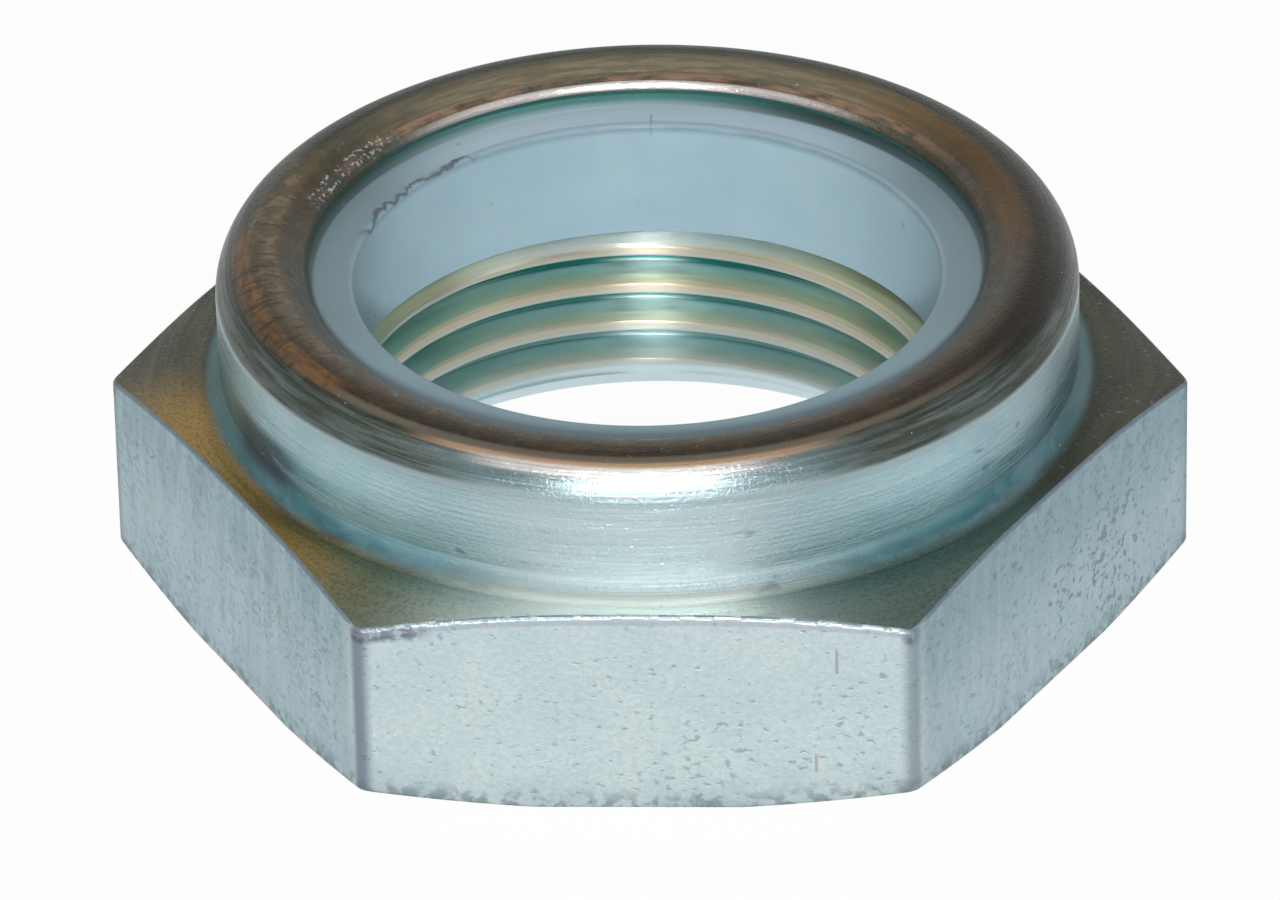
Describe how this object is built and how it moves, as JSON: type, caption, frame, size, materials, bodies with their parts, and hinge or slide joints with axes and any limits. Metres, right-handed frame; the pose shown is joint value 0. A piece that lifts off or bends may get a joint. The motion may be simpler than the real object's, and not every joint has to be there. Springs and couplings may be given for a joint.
{
  "type": "nylon insert lock nut",
  "caption": "Thin hexagon lock nut with a turned collar whose rolled lip holds a nylon locking ring above the thread.",
  "frame": {"origin": "centre of the bearing face, on the thread's axis", "axes": "+Z along the thread's axis, from the bearing face to the locking collar; a flat of the hexagon faces -Y and two corners lie on the X axis"},
  "size_m": [0.0438, 0.0382, 0.015],
  "materials": {
    "plated_steel": "zinc plating with a thin yellow-brown passivation on the turned faces",
    "nylon": "milky pale grey-blue nylon, smooth from moulding"
  },
  "bodies": {
    "root": {"nut_body": "plated_steel", "nylon_ring": "nylon"}
  },
  "joints": []
}
